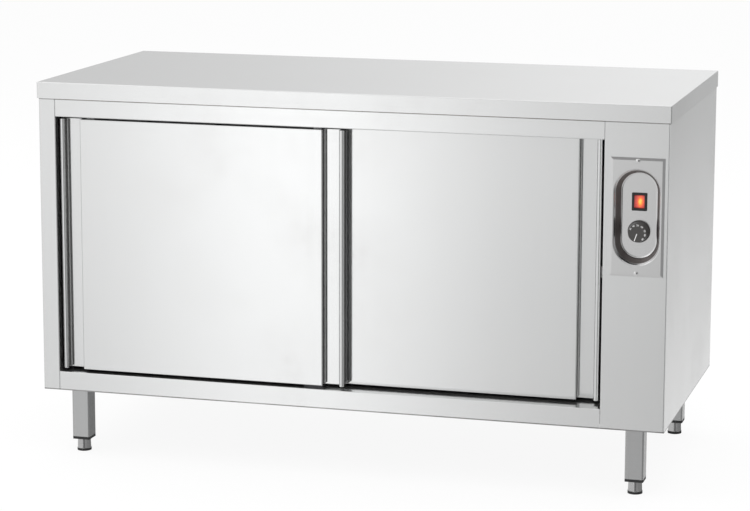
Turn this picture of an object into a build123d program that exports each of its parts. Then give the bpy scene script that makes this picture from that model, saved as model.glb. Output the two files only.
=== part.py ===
from build123d import *

import os
from math import atan2, degrees

# Plate warmer cabinet: a heated stainless cupboard on legs with two by-passing doors, in millimetres.
# The origin is on the floor under the middle of the worktop, the doors face -Y and +Z is up.
os.makedirs("parts", exist_ok=True)

# worktop and case
worktop_length = 1400
worktop_depth = 650
overall_height = 840
worktop_edge = 36
worktop_sheet = 1.5
worktop_round = 2
sheet = 1.2
case_side_inset = 2.5
case_front_inset = 4.5
case_rear_inset = 2.5
case_bottom = 150
fold_round = 1.6
seam = 0.3

# front frame
stile_width = 38
top_rail_height = 40
bottom_rail_height = 42
column_width = 136.5
frame_return = 45
tray_flange = 14
tray_rise = 10
rear_return = 15
rail_fold = 12
cove_height = 20
cove_round = 5

# lining and insulation
back_lagging = 38.9
partition_lagging = 20
track_zone_depth = 77.5
liner_lap = 20

# doors
door_overlap = 99
door_thickness = 26
door_recess = 10.5
door_pitch = 34
door_side_gap = 5
door_top_gap = 5.3
door_bottom_gap = 6
right_door_gap = 12.5
rib_width = 11.5
grip_width = 36.5
grip_depth = 20
panel_round = 2
rib_round = 5
door_end_round = 1.5
core_thickness = 20
groove_edge = 0.2

# hanging gear
hanger_inset = 65
hanger_thickness = 2
hanger_width = 50
hanger_neck = 18
hanger_lap = 30
roller_radius = 12
roller_groove_radius = 9.5
roller_width = 8
roller_edge = 0.8
groove_half = 1.2
hanger_round = 4
hanger_margin = 8
stop_width = 8
roller_setback = 15
axle_radius = 3
axle_collar_radius = 5
axle_head_radius = 4.5
axle_head = 1.5
turning_gap = 0.05
running_gap = 0.3
track_wall = 1.5
track_floor_gap = 1
track_rail_gap = 1
lip_height = 5.5
web_to_lip = 12
stop_height = 14

# centre floor guide
guide_length = 42
guide_centre_from_gap = 74
guide_base = 3
guide_fin = 2
guide_fin_rise = 11
guide_margin = 8

# shelf
shelf_level = 480
shelf_fold = 25
shelf_end_gap = 3
shelf_front_gap = 14
shelf_rear_gap = 12
angle_leg = 28
slot_length = 90
slot_width = 10
slot_pitch_x = 140
slot_pitch_y = 110
slot_columns = 8
slot_rows = 4

# control plate and its drawn dish
plate_width = 114
plate_height = 250
plate_centre_from_side = 66
plate_drop = 199
plate_rise = 2.5
plate_bevel = 5.5
bevel_land = 0.6
dish_width = 97
dish_height = 201
dish_depth = 30
dish_slope = 10
dish_floor_round = 4.5
dish_rim_round = 2.2
plate_screw_offset = 118
screw_radius = 2
screw_head_radius = 4.8
screw_head = 1.8
screw_head_round = 1.08
screw_slot = 1.2
screw_grip = 6

# switch and thermostat
switch_rise = 28.5
bezel_width = 32
bezel_height = 38
bezel_rise = 2.4
bezel_round = 2
bezel_edge = 0.8
switch_body_width = 26
switch_body_height = 31
switch_body_depth = 24
rocker_width = 21
rocker_reach = 13.6
rocker_front = 8
rocker_dip = 1.2
rocker_dish = 5
pocket_depth = 18
pivot_radius = 1.5
rocker_back = 3
terminal_pitch = 9
terminal_blade = 6
terminal_blade_thickness = 1
terminal_reach = 8
rocker_tilt = 8
rocker_pivot_depth = 4
knob_drop = 34
knob_radius = 23.5
knob_face_radius = 19.3
knob_height = 23
knob_skirt = 3
knob_skirt_bevel = 1.2
knob_flutes = 24
knob_flute_radius = 1.1
knob_bore_depth = 12
shaft_radius = 3
thermostat_radius = 17
thermostat_depth = 26
thermostat_neck_radius = 5
neck_rise = 5
index_width = 1.4
index_depth = 0.5
index_angle = -109
index_start = 6
knob_edge = 1

# heater and fan, between the partition and the right side panel
duct_width = 52
duct_front = -70
duct_rear = 170
duct_bottom = 290
duct_top = 640
duct_flange = 12
fan_level = 400
intake_radius = 50
intake_slots = 6
intake_inset = 20
outlet_level = 575
outlet_height = 70
outlet_width = 180
outlet_slots = 4
outlet_inset = 20
impeller_radius = 62
impeller_width = 30
impeller_blades = 16
impeller_hub_radius = 14
motor_radius = 34
motor_length = 40
motor_shaft_radius = 4
motor_boss_radius = 16
motor_boss = 4
impeller_hub = 20
blade_width = 16
blade_angle = 40
element_radius = 4
element_pitch = 32
element_round = 14.4
element_margin = 35
element_tail = 12

# supply entry
gland_from_leg = 80
gland_radius = 12
gland_bore = 6
gland_thread_radius = 9.5
gland_hex = 6
gland_dome = 14
gland_round = 3
gland_nut = 4
gland_in = 14
terminal_width = 50
terminal_height = 24
terminal_depth = 30
terminal_level = 240
terminal_hole = 3
terminal_columns = 3
terminal_rows = 2
louvre_count = 8
louvre_width = 64
louvre_height = 5
louvre_pitch = 16
louvre_drop = 114

# legs and levelling feet
leg_side = 40
leg_wall = 1.5
leg_corner = 3
leg_plate = 90
leg_plate_thickness = 3
leg_plate_round = 8
leg_side_inset = 71.5
leg_depth_inset = 65
cap_depth = 6
cap_plug = 25
foot_height = 28
foot_top_radius = 14.5
foot_bottom_radius = 16
foot_pad = 5.5
foot_pad_step = 0.8
stud_radius = 5
stud_length = 60
bolt_radius = 4
bolt_head_radius = 7
bolt_head = 2.4
bolt_offset = 33

# planes and edges that several pieces share
case_left = -worktop_length / 2 + case_side_inset
case_right = worktop_length / 2 - case_side_inset
case_front = -worktop_depth / 2 + case_front_inset
case_rear = worktop_depth / 2 - case_rear_inset
case_top = overall_height - worktop_edge
opening_left = case_left + stile_width
opening_right = case_right - column_width
opening_top = case_top - top_rail_height
opening_bottom = case_bottom + bottom_rail_height
chamber_front = case_front + track_zone_depth
liner_left = opening_left - sheet
liner_right = opening_right + sheet
back_inner = case_rear - 2 * sheet
tray_left = case_left + sheet + seam
tray_right = case_right - sheet - seam
column_right = case_right - sheet
tray_front = case_front + sheet
lagging_left = tray_left + sheet
lagging_front = tray_front + sheet
lagging_rear = back_inner - sheet
tray_bottom = case_bottom + tray_rise
lagging_bottom = tray_bottom + sheet
return_notch = tray_rise + tray_flange + seam
lining_top = case_top - seam
back_face = lagging_rear - back_lagging
partition_back = liner_right + sheet + partition_lagging
door_front = case_front + door_recess
door_left = opening_left + door_side_gap
door_width = (opening_right - right_door_gap - door_left + door_overlap) / 2
door_right = door_left + door_width
door_bottom = opening_bottom + door_bottom_gap
door_top = opening_top - door_top_gap
right_door_shift = opening_right - right_door_gap - door_right
plate_centre = case_right - plate_centre_from_side
plate_centre_level = case_top - plate_drop
switch_level = plate_centre_level + switch_rise
knob_level = plate_centre_level - knob_drop
plate_front = case_front - plate_rise
dish_floor = plate_front + dish_depth
dish_taper = degrees(atan2(dish_slope, dish_depth))
louvre_level = case_top - louvre_drop
entry_x = (partition_back + tray_right) / 2
duct_centre = (duct_front + duct_rear) / 2
door_back = door_front + door_thickness
panel_left = door_left + rib_width + grip_width
panel_right = door_right - rib_width - grip_width
hanger_back = door_back - sheet
groove_front = door_front + grip_depth + sheet + groove_edge
groove_rear = hanger_back - groove_edge
grip_rounds = [rib_round, rib_round, fold_round, fold_round, panel_round]
hanger_places = (door_left + hanger_inset, door_right - hanger_inset)
outer_reach = hanger_places[0] - roller_radius - seam
inner_reach = hanger_places[1] + right_door_shift + roller_radius + seam
guide_centre = door_right - guide_centre_from_gap
front_lip = door_front + roller_setback
track_floor = opening_top + track_floor_gap
lip_top = track_floor + track_wall + lip_height
axle_level = lip_top + running_gap + roller_groove_radius
neck_top = opening_top + track_floor_gap
hanger_top = axle_level + hanger_margin
roller_rear = front_lip + roller_width / 2
roller_front = front_lip - roller_width / 2
rocker_pivot = dish_floor + rocker_pivot_depth
duct_outer = partition_back + duct_width
impeller_plate = duct_outer - motor_boss - sheet
element_top = duct_top - element_margin
element_front = duct_front + element_margin
element_rear = duct_rear - element_margin
element_x = partition_back + duct_width / 2
intake_pitch = 2 * intake_radius / intake_slots
outlet_pitch = outlet_height / outlet_slots
terminal_step = terminal_width / terminal_columns
terminal_rise = terminal_height / terminal_rows
shelf_front = chamber_front + shelf_front_gap
shelf_rear = back_face - shelf_rear_gap
first_leg = -worktop_length / 2 + leg_side_inset
last_leg = worktop_length / 2 - leg_side_inset
leg_front = -worktop_depth / 2 + leg_depth_inset
leg_rear = worktop_depth / 2 - leg_depth_inset
gland_y = leg_rear - gland_from_leg
leg_names = ("front_left", "front_right", "rear_left", "rear_right")
leg_bore = leg_side - 2 * leg_wall
leg_places = [(x, y) for y in (leg_front, leg_rear) for x in (first_leg, last_leg)]


def between(low_x, high_x, low_y, high_y):
    """A rectangle given by its edges."""
    with Locations(((low_x + high_x) / 2, (low_y + high_y) / 2)):
        Rectangle(high_x - low_x, high_y - low_y)


def lower_edges(builder):
    """The edges round a piece's underside, without the one along its front."""
    return builder.faces().sort_by(Axis.Z)[0].edges().sort_by(Axis.Y)[1:]


def facing_front(y):
    """The plane at depth y whose sketch axes are X and Z; a negative extrusion goes towards the rear."""
    return Plane.XZ.offset(-y)


def finish(builder, name):
    """Name a piece and save it."""
    builder.part.label = name
    export_step(builder.part, f"parts/{name}.step")


# worktop
with BuildPart() as worktop:
    with BuildSketch(Plane.XY.offset(case_top)):
        Rectangle(worktop_length, worktop_depth)
    extrude(amount=worktop_edge)
    fillet(worktop.edges().filter_by(Axis.Z), worktop_round)
    fillet(worktop.faces().sort_by(Axis.Z)[-1].edges(), worktop_round)
    offset(amount=-worktop_sheet, openings=worktop.faces().sort_by(Axis.Z)[0])
finish(worktop, "worktop")

with BuildPart() as worktop_core:
    with BuildSketch(Plane.XY.offset(case_top)):
        Rectangle(worktop_length - 2 * (worktop_sheet + seam), worktop_depth - 2 * (worktop_sheet + seam))
    extrude(amount=worktop_edge - worktop_sheet)
    chamfer(worktop_core.faces().sort_by(Axis.Z)[-1].edges(), worktop_round)
finish(worktop_core, "worktop_core")

# case
with BuildPart() as left_side_panel:
    with BuildSketch(Plane.XY.offset(case_bottom)):
        with BuildLine():
            FilletPolyline(
                (case_left + rear_return, case_rear),
                (case_left, case_rear),
                (case_left, case_front),
                (opening_left, case_front),
                (opening_left, case_front + frame_return),
                radius=fold_round,
            )
            offset(amount=sheet, side=Side.LEFT)
        make_face()
    extrude(amount=case_top - case_bottom)
    with BuildSketch(Plane.XY.offset(case_bottom)):
        between(opening_left - 2 * sheet, opening_left, tray_front, case_front + frame_return)
    extrude(amount=return_notch, mode=Mode.SUBTRACT)
finish(left_side_panel, "left_side_panel")

with BuildPart() as right_side_panel:
    with BuildSketch(Plane.XY.offset(case_bottom)):
        with BuildLine():
            FilletPolyline(
                (case_right, case_front),
                (case_right, case_rear),
                (case_right - rear_return, case_rear),
                radius=fold_round,
            )
            offset(amount=sheet, side=Side.LEFT)
        make_face()
    extrude(amount=case_top - case_bottom)
finish(right_side_panel, "right_side_panel")

with BuildPart() as control_column:
    with BuildSketch(Plane.XY.offset(case_bottom)):
        with BuildLine():
            FilletPolyline(
                (opening_right, case_front + frame_return),
                (opening_right, case_front),
                (column_right, case_front),
                (column_right, case_front + frame_return),
                radius=fold_round,
            )
            offset(amount=sheet, side=Side.LEFT)
        make_face()
    extrude(amount=case_top - case_bottom)
    with BuildSketch(Plane.XY.offset(case_bottom)):
        between(opening_right, column_right, tray_front, case_front + frame_return)
    extrude(amount=return_notch, mode=Mode.SUBTRACT)
    with BuildSketch(facing_front(case_front)):
        with Locations((plate_centre, plate_centre_level)):
            SlotOverall(dish_height + 2 * sheet, dish_width + 2 * sheet, rotation=90)
            with GridLocations(0, 2 * plate_screw_offset, 1, 2):
                Circle(screw_radius + seam)
    extrude(amount=-sheet, mode=Mode.SUBTRACT)
finish(control_column, "control_column")

with BuildPart() as top_rail:
    with BuildSketch(Plane.YZ.offset(opening_left + seam)):
        with BuildLine():
            FilletPolyline(
                (case_front + rail_fold, opening_top),
                (case_front, opening_top),
                (case_front, case_top),
                (case_front + rail_fold, case_top),
                radius=fold_round,
            )
            offset(amount=sheet, side=Side.RIGHT)
        make_face()
    extrude(amount=opening_right - opening_left - 2 * seam)
finish(top_rail, "top_rail")

with BuildPart() as bottom_rail:
    with BuildSketch(Plane.YZ.offset(opening_left + seam)):
        with BuildLine():
            FilletPolyline(
                (case_front, case_bottom),
                (case_front, opening_bottom),
                (chamber_front - seam, opening_bottom),
                (chamber_front - seam, opening_bottom - rail_fold),
                radius=fold_round,
            )
            offset(amount=sheet, side=Side.RIGHT)
        make_face()
    extrude(amount=opening_right - opening_left - 2 * seam)
finish(bottom_rail, "bottom_rail")

with BuildPart() as base_tray:
    with BuildSketch(Plane.XY.offset(tray_bottom)):
        between(tray_left, tray_right, tray_front, back_inner)
    extrude(amount=tray_flange)
    offset(amount=-sheet, openings=base_tray.faces().sort_by(Axis.Z)[-1])
    with BuildSketch(Plane.XY.offset(tray_bottom)):
        with Locations(*leg_places):
            with GridLocations(2 * bolt_offset, 2 * bolt_offset, 2, 2):
                Circle(bolt_radius + seam)
        with Locations((entry_x, gland_y)):
            Circle(gland_thread_radius + seam)
    extrude(amount=sheet, mode=Mode.SUBTRACT)
finish(base_tray, "base_tray")

with BuildPart() as back_panel:
    with BuildSketch(facing_front(case_rear - sheet)):
        between(tray_left + seam, tray_right - seam, case_bottom, case_top)
        with Locations((entry_x, louvre_level)):
            with GridLocations(0, louvre_pitch, 1, louvre_count):
                SlotOverall(louvre_width, louvre_height, mode=Mode.SUBTRACT)
    extrude(amount=sheet)
finish(back_panel, "back_panel")

with BuildPart() as door_track:
    with BuildSketch(Plane.YZ.offset(opening_left + seam)):
        between(
            case_front + rail_fold + track_rail_gap, chamber_front - seam,
            case_top - track_wall, case_top,
        )
        for lip_y in (front_lip, front_lip + door_pitch):
            between(lip_y - web_to_lip, lip_y - web_to_lip + track_wall, track_floor, case_top)
            between(lip_y - web_to_lip, lip_y + track_wall / 2, track_floor, track_floor + track_wall)
            between(lip_y - track_wall / 2, lip_y + track_wall / 2, track_floor, lip_top)
    extrude(amount=opening_right - opening_left - 2 * seam)
finish(door_track, "door_track")

# lining and insulation
with BuildPart() as left_liner:
    with BuildSketch(Plane.YZ.offset(liner_left)):
        between(case_front + frame_return - liner_lap, back_face, opening_bottom - sheet, lining_top)
    extrude(amount=-sheet)
finish(left_liner, "left_liner")

with BuildPart() as right_liner:
    with BuildSketch(Plane.YZ.offset(liner_right)):
        between(case_front + frame_return - liner_lap, back_face, opening_bottom - sheet, lining_top)
        with Locations((duct_centre, fan_level)):
            with GridLocations(0, intake_pitch, 1, intake_slots):
                SlotOverall(2 * intake_radius - intake_inset, intake_pitch / 2, mode=Mode.SUBTRACT)
        with Locations((duct_centre, outlet_level)):
            with GridLocations(0, outlet_pitch, 1, outlet_slots):
                SlotOverall(outlet_width - outlet_inset, outlet_pitch / 2, mode=Mode.SUBTRACT)
    extrude(amount=sheet)
finish(right_liner, "right_liner")

with BuildPart() as back_liner:
    with BuildSketch(facing_front(back_face)):
        between(liner_left - sheet, liner_right + sheet, opening_bottom - sheet, lining_top)
    extrude(amount=-sheet)
finish(back_liner, "back_liner")

with BuildPart() as chamber_floor:
    with BuildSketch(Plane.XY.offset(opening_bottom - sheet)):
        between(liner_left, liner_right, chamber_front, back_face)
    extrude(amount=cove_height)
    rear_and_ends = chamber_floor.edges().filter_by(Axis.Z).sort_by(Axis.Y)[-2:]
    fillet(rear_and_ends + lower_edges(chamber_floor), cove_round)
    open_faces = [chamber_floor.faces().sort_by(Axis.Z)[-1], chamber_floor.faces().sort_by(Axis.Y)[0]]
    offset(amount=-sheet, openings=open_faces)
finish(chamber_floor, "chamber_floor")

with BuildPart() as chamber_ceiling:
    with BuildSketch(Plane.YZ.offset(liner_left)):
        with BuildLine():
            FilletPolyline(
                (back_face, opening_top),
                (chamber_front, opening_top),
                (chamber_front, lining_top),
                radius=fold_round,
            )
            offset(amount=sheet, side=Side.RIGHT)
        make_face()
    extrude(amount=liner_right - liner_left)
finish(chamber_ceiling, "chamber_ceiling")

with BuildPart() as left_insulation:
    with BuildSketch(Plane.XY.offset(lagging_bottom)):
        between(lagging_left, liner_left - sheet, lagging_front, lagging_rear)
    extrude(amount=lining_top - lagging_bottom)
finish(left_insulation, "left_insulation")

with BuildPart() as partition_insulation:
    with BuildSketch(Plane.YZ.offset(liner_right + sheet)):
        between(case_front + frame_return, lagging_rear, lagging_bottom, lining_top)
        with Locations((duct_centre, fan_level)):
            Circle(intake_radius, mode=Mode.SUBTRACT)
        with Locations((duct_centre, outlet_level)):
            Rectangle(outlet_width, outlet_height, mode=Mode.SUBTRACT)
    extrude(amount=partition_lagging)
finish(partition_insulation, "partition_insulation")

with BuildPart() as back_insulation:
    with BuildSketch(facing_front(back_face + sheet)):
        between(liner_left - sheet, liner_right + sheet, lagging_bottom, lining_top)
    extrude(amount=-(back_lagging - sheet))
finish(back_insulation, "back_insulation")

with BuildPart() as floor_insulation:
    with BuildSketch(Plane.XY.offset(lagging_bottom)):
        between(liner_left - sheet, liner_right + sheet, chamber_front, back_face + sheet)
    extrude(amount=opening_bottom - sheet - lagging_bottom)
finish(floor_insulation, "floor_insulation")

with BuildPart() as ceiling_insulation:
    with BuildSketch(Plane.XY.offset(opening_top + sheet)):
        between(liner_left, liner_right, chamber_front + sheet + 2 * seam, back_face)
    extrude(amount=lining_top - opening_top - sheet)
finish(ceiling_insulation, "ceiling_insulation")

# shelf
with BuildPart() as shelf:
    with BuildSketch(Plane.YZ.offset(liner_left + shelf_end_gap)):
        with BuildLine():
            FilletPolyline(
                (shelf_front + rail_fold, shelf_level - shelf_fold),
                (shelf_front, shelf_level - shelf_fold),
                (shelf_front, shelf_level),
                (shelf_rear, shelf_level),
                (shelf_rear, shelf_level - shelf_fold),
                radius=fold_round,
            )
            offset(amount=sheet, side=Side.RIGHT)
        make_face()
    extrude(amount=liner_right - liner_left - 2 * shelf_end_gap)
    with BuildSketch(Plane.XY.offset(shelf_level)):
        with Locations(((liner_left + liner_right) / 2, (shelf_front + shelf_rear) / 2)):
            with GridLocations(slot_pitch_x, slot_pitch_y, slot_columns, slot_rows):
                SlotOverall(slot_length, slot_width)
    extrude(amount=-sheet, mode=Mode.SUBTRACT)
finish(shelf, "shelf")

with BuildPart() as shelf_angles:
    with BuildSketch(facing_front(shelf_front + rail_fold + 2 * sheet)):
        with BuildLine():
            FilletPolyline(
                (liner_left, shelf_level - sheet - angle_leg),
                (liner_left, shelf_level - sheet),
                (liner_left + angle_leg, shelf_level - sheet),
                radius=fold_round,
            )
            offset(amount=sheet, side=Side.RIGHT)
        make_face()
    extrude(amount=-(shelf_rear - shelf_front - rail_fold - 4 * sheet))
    mirror(about=Plane.YZ.offset((liner_left + liner_right) / 2))
finish(shelf_angles, "shelf_angles")

# doors
with BuildPart() as left_door_shell:
    with BuildSketch(Plane.XY.offset(door_bottom)):
        with BuildLine():
            FilletPolyline(
                (door_left, door_back),
                (door_left, door_front),
                (door_left + rib_width, door_front),
                (door_left + rib_width, door_front + grip_depth),
                (panel_left, door_front + grip_depth),
                (panel_left, door_front),
                (panel_right, door_front),
                (panel_right, door_front + grip_depth),
                (door_right - rib_width, door_front + grip_depth),
                (door_right - rib_width, door_front),
                (door_right, door_front),
                (door_right, door_back),
                radius=grip_rounds + grip_rounds[::-1],
            )
            Line((door_right, door_back), (door_left, door_back))
        make_face()
    extrude(amount=door_top - door_bottom)
    door_ends = left_door_shell.faces().filter_by(Axis.Z)
    door_rear = left_door_shell.faces().sort_by(Axis.Y)[-1]
    fillet(door_ends.edges() - door_rear.edges(), door_end_round)
    offset(amount=-sheet, openings=left_door_shell.faces().sort_by(Axis.Y)[-1])
    with BuildSketch(Plane.XY.offset(door_bottom)):
        between(door_left + sheet, door_right - sheet, groove_front, groove_rear)
    extrude(amount=sheet, mode=Mode.SUBTRACT)
    with BuildSketch(Plane.XY.offset(door_top - sheet)):
        with Locations(*[(x, hanger_back - hanger_thickness / 2) for x in hanger_places]):
            Rectangle(hanger_neck + 2 * seam, hanger_thickness + 2 * seam)
    extrude(amount=sheet, mode=Mode.SUBTRACT)
finish(left_door_shell, "left_door_shell")

with BuildPart() as left_door_back:
    with BuildSketch(facing_front(door_back - sheet)):
        between(door_left + sheet + seam, door_right - sheet - seam, door_bottom + sheet, door_top - sheet)
    extrude(amount=-sheet)
finish(left_door_back, "left_door_back")

with BuildPart() as left_door_core:
    with BuildSketch(Plane.XY.offset(door_bottom + sheet + seam)):
        between(
            panel_left + sheet, panel_right - sheet,
            door_front + sheet, door_front + sheet + core_thickness,
        )
    extrude(amount=door_top - door_bottom - 2 * sheet - 2 * seam)
    fillet(left_door_core.edges().filter_by(Axis.Z).sort_by(Axis.Y)[:2], panel_round)
finish(left_door_core, "left_door_core")

with BuildPart() as left_door_hangers:
    with BuildSketch(facing_front(hanger_back)):
        for hanger_x in hanger_places:
            between(hanger_x - hanger_width / 2, hanger_x + hanger_width / 2, neck_top, hanger_top)
            between(hanger_x - hanger_neck / 2, hanger_x + hanger_neck / 2, door_top - hanger_lap, neck_top)
    extrude(amount=hanger_thickness)
    fillet(left_door_hangers.edges().filter_by(Axis.Y).group_by(Axis.Z)[-1], hanger_round)
    for radius, start, end in (
        (axle_collar_radius, hanger_back - hanger_thickness, roller_rear + running_gap),
        (axle_radius, roller_rear + running_gap, roller_front - running_gap),
        (axle_head_radius, roller_front - running_gap, roller_front - running_gap - axle_head),
    ):
        with BuildSketch(facing_front(start)):
            with Locations(*[(x, axle_level) for x in hanger_places]):
                Circle(radius)
        extrude(amount=start - end)
finish(left_door_hangers, "left_door_hangers")

with BuildPart() as left_outer_roller:
    with BuildSketch(Plane.XY):
        with BuildLine():
            Polyline(
                (axle_radius + turning_gap, -roller_width / 2),
                (roller_radius - roller_edge, -roller_width / 2),
                (roller_radius, roller_edge - roller_width / 2),
                (roller_radius, -groove_half - roller_edge),
                (roller_groove_radius, -groove_half),
                (roller_groove_radius, groove_half),
                (roller_radius, groove_half + roller_edge),
                (roller_radius, roller_width / 2 - roller_edge),
                (roller_radius - roller_edge, roller_width / 2),
                (axle_radius + turning_gap, roller_width / 2),
                close=True,
            )
        make_face()
    revolve(axis=Axis.Y)
    left_outer_roller.part.position = (hanger_places[0], front_lip, axle_level)
finish(left_outer_roller, "left_outer_roller")

roller_step = Pos(hanger_places[1] - hanger_places[0], 0, 0)
right_door_step = Pos(right_door_shift, door_pitch, 0)

with BuildPart() as left_inner_roller:
    add(roller_step * left_outer_roller.part)
finish(left_inner_roller, "left_inner_roller")

with BuildPart() as right_door_shell:
    add(right_door_step * left_door_shell.part)
finish(right_door_shell, "right_door_shell")

with BuildPart() as right_door_back:
    add(right_door_step * left_door_back.part)
finish(right_door_back, "right_door_back")

with BuildPart() as right_door_core:
    add(right_door_step * left_door_core.part)
finish(right_door_core, "right_door_core")

with BuildPart() as right_door_hangers:
    add(right_door_step * left_door_hangers.part)
finish(right_door_hangers, "right_door_hangers")

with BuildPart() as right_inner_roller:
    add(right_door_step * left_outer_roller.part)
finish(right_inner_roller, "right_inner_roller")

with BuildPart() as right_outer_roller:
    add(right_door_step * roller_step * left_outer_roller.part)
finish(right_outer_roller, "right_outer_roller")

# guides and stops
with BuildPart() as floor_guide:
    with BuildSketch(Plane.XY.offset(opening_bottom)):
        between(
            guide_centre - guide_length / 2,
            guide_centre + guide_length / 2,
            groove_front - guide_margin,
            groove_rear + door_pitch + guide_margin,
        )
    extrude(amount=guide_base)
    fillet(floor_guide.edges().filter_by(Axis.Z), hanger_round)
    with BuildSketch(Plane.XY.offset(opening_bottom + guide_base)):
        with Locations((guide_centre, (groove_front + groove_rear + door_pitch) / 2)):
            with GridLocations(0, door_pitch, 1, 2):
                SlotOverall(guide_length, guide_fin)
    extrude(amount=guide_fin_rise)
finish(floor_guide, "floor_guide")

with BuildPart() as door_stops:
    with BuildSketch(Plane.XY.offset(lip_top)):
        for lip_y in (front_lip, front_lip + door_pitch):
            between(opening_left + seam, outer_reach, lip_y - stop_width / 2, lip_y + stop_width / 2)
            between(inner_reach, opening_right - seam, lip_y - stop_width / 2, lip_y + stop_width / 2)
    extrude(amount=stop_height)
    chamfer(door_stops.edges().filter_by(Axis.Y).group_by(Axis.Z)[-1], roller_edge)
finish(door_stops, "door_stops")

# controls
with BuildPart() as control_plate:
    with BuildSketch(facing_front(case_front)):
        with Locations((plate_centre, plate_centre_level)):
            Rectangle(plate_width, plate_height)
    extrude(amount=plate_rise)
    chamfer(
        control_plate.faces().sort_by(Axis.Y)[0].edges(),
        length=plate_rise - bevel_land,
        length2=plate_bevel,
    )
    offset(amount=-sheet, openings=control_plate.faces().sort_by(Axis.Y)[-1])
    with BuildSketch(facing_front(plate_front)):
        with Locations((plate_centre, plate_centre_level)):
            SlotOverall(dish_height + 2 * sheet, dish_width + 2 * sheet, rotation=90)
    extrude(amount=-dish_depth - sheet, taper=dish_taper)
    fillet(control_plate.faces().sort_by(Axis.Y)[-1].edges(), dish_floor_round + sheet)
    with BuildSketch(facing_front(plate_front)):
        with Locations((plate_centre, plate_centre_level)):
            SlotOverall(dish_height, dish_width, rotation=90)
    extrude(amount=-dish_depth, taper=dish_taper, mode=Mode.SUBTRACT)
    dish_face = control_plate.faces().filter_by(Axis.Y).sort_by(Axis.Y)[-2]
    fillet(dish_face.edges(), dish_floor_round)
    rim_face = control_plate.faces().filter_by(Axis.Y).sort_by(Axis.Y)[0]
    fillet(rim_face.inner_wires().edges(), dish_rim_round)
    with BuildSketch(facing_front(plate_front)):
        with Locations((plate_centre, plate_centre_level)):
            with GridLocations(0, 2 * plate_screw_offset, 1, 2):
                Circle(screw_radius + seam)
        with Locations((plate_centre, switch_level)):
            Rectangle(switch_body_width + 2 * seam, switch_body_height + 2 * seam)
        with Locations((plate_centre, knob_level)):
            Circle(thermostat_neck_radius + seam)
    extrude(amount=-dish_depth - 2 * sheet, mode=Mode.SUBTRACT)
finish(control_plate, "control_plate")

with BuildPart() as plate_screws:
    with BuildSketch(facing_front(plate_front)):
        with Locations((plate_centre, plate_centre_level)):
            with GridLocations(0, 2 * plate_screw_offset, 1, 2):
                Circle(screw_head_radius)
    extrude(amount=screw_head)
    fillet(plate_screws.faces().sort_by(Axis.Y)[:2].edges(), screw_head_round)
    with BuildSketch(facing_front(plate_front)):
        with Locations((plate_centre, plate_centre_level)):
            with GridLocations(0, 2 * plate_screw_offset, 1, 2):
                Circle(screw_radius)
    extrude(amount=-screw_grip)
    with BuildSketch(facing_front(plate_front - screw_head)):
        with Locations((plate_centre, plate_centre_level)):
            with GridLocations(0, 2 * plate_screw_offset, 1, 2):
                Rectangle(screw_head_radius, screw_slot)
                Rectangle(screw_slot, screw_head_radius)
    extrude(amount=-screw_head / 2, mode=Mode.SUBTRACT)
finish(plate_screws, "plate_screws")

with BuildPart() as switch_body:
    with BuildSketch(facing_front(dish_floor)):
        with Locations((plate_centre, switch_level)):
            Rectangle(bezel_width, bezel_height)
    extrude(amount=bezel_rise)
    fillet(switch_body.edges().filter_by(Axis.Y), bezel_round)
    fillet(switch_body.faces().sort_by(Axis.Y)[0].edges(), bezel_edge)
    with BuildSketch(facing_front(dish_floor)):
        with Locations((plate_centre, switch_level)):
            Rectangle(switch_body_width, switch_body_height)
    extrude(amount=-switch_body_depth)
    with BuildSketch(facing_front(dish_floor - bezel_rise)):
        with Locations((plate_centre, switch_level)):
            Rectangle(rocker_width + 2 * seam, 2 * (rocker_reach + seam))
    extrude(amount=-bezel_rise - pocket_depth, mode=Mode.SUBTRACT)
    with BuildSketch(Plane.YZ.offset(plate_centre - rocker_width / 2 - seam)):
        with Locations((rocker_pivot, switch_level)):
            Circle(pivot_radius)
    extrude(amount=rocker_width + 2 * seam)
    with BuildSketch(facing_front(dish_floor + switch_body_depth)):
        with Locations((plate_centre, switch_level)):
            with GridLocations(0, terminal_pitch, 1, 3):
                Rectangle(terminal_blade, terminal_blade_thickness)
    extrude(amount=-terminal_reach)
finish(switch_body, "switch_body")

with BuildPart() as switch_rocker:
    with BuildSketch(Plane.YZ.offset(plate_centre - rocker_width / 2)):
        with Locations(Location((rocker_pivot, switch_level), -rocker_tilt)):
            Circle(rocker_reach)
            Circle(pivot_radius + turning_gap, mode=Mode.SUBTRACT)
            with Locations((pocket_depth, 0)):
                Rectangle(2 * (pocket_depth - rocker_back), 2 * rocker_reach, mode=Mode.SUBTRACT)
            for turn, edge in ((rocker_dish, Align.MIN), (-rocker_dish, Align.MAX)):
                with Locations(Location((rocker_dip - rocker_front, 0), turn)):
                    Rectangle(rocker_reach, 2 * rocker_reach, align=(Align.MAX, edge), mode=Mode.SUBTRACT)
    extrude(amount=rocker_width)
finish(switch_rocker, "switch_rocker")

with BuildPart() as thermostat:
    for radius, start, end in (
        (thermostat_radius, dish_floor + sheet + thermostat_depth, dish_floor + sheet),
        (thermostat_neck_radius, dish_floor + sheet, dish_floor - neck_rise),
        (shaft_radius, dish_floor - neck_rise, dish_floor - knob_bore_depth),
    ):
        with BuildSketch(facing_front(start)):
            with Locations((plate_centre, knob_level)):
                Circle(radius)
        extrude(amount=start - end)
    chamfer(thermostat.faces().sort_by(Axis.Y)[-1].edges(), roller_edge)
finish(thermostat, "thermostat")

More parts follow.
